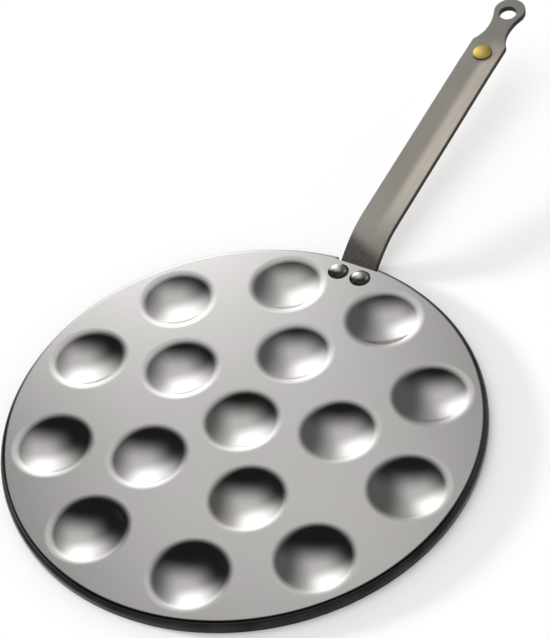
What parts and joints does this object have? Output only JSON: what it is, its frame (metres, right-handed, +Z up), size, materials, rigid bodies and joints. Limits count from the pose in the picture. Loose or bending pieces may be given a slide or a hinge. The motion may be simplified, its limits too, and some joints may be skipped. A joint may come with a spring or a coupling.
{
  "type": "poffertjes pan",
  "caption": "Round steel griddle plate pressed with shallow round hollows for small pancakes, with a riveted flat strip handle that ends in a hanging eye.",
  "frame": {"origin": "on the plate's axis, in the plane that the undersides of the hollows stand on", "axes": "+Z up along the plate's axis, +X along the handle towards its eye, +Y to the left of the handle"},
  "size_m": [0.4852, 0.27, 0.0467],
  "materials": {
    "plate_steel": "bare pressed steel, satin and faintly mottled",
    "handle_steel": "bare strip steel, warm grey, fine grain along its length",
    "rivet_steel": "polished domed steel",
    "brass": "satin yellow brass"
  },
  "bodies": {
    "root": {"pan_plate": "plate_steel", "handle": "handle_steel", "rivet_left": "rivet_steel", "rivet_right": "rivet_steel", "brass_stud": "brass"}
  },
  "joints": []
}
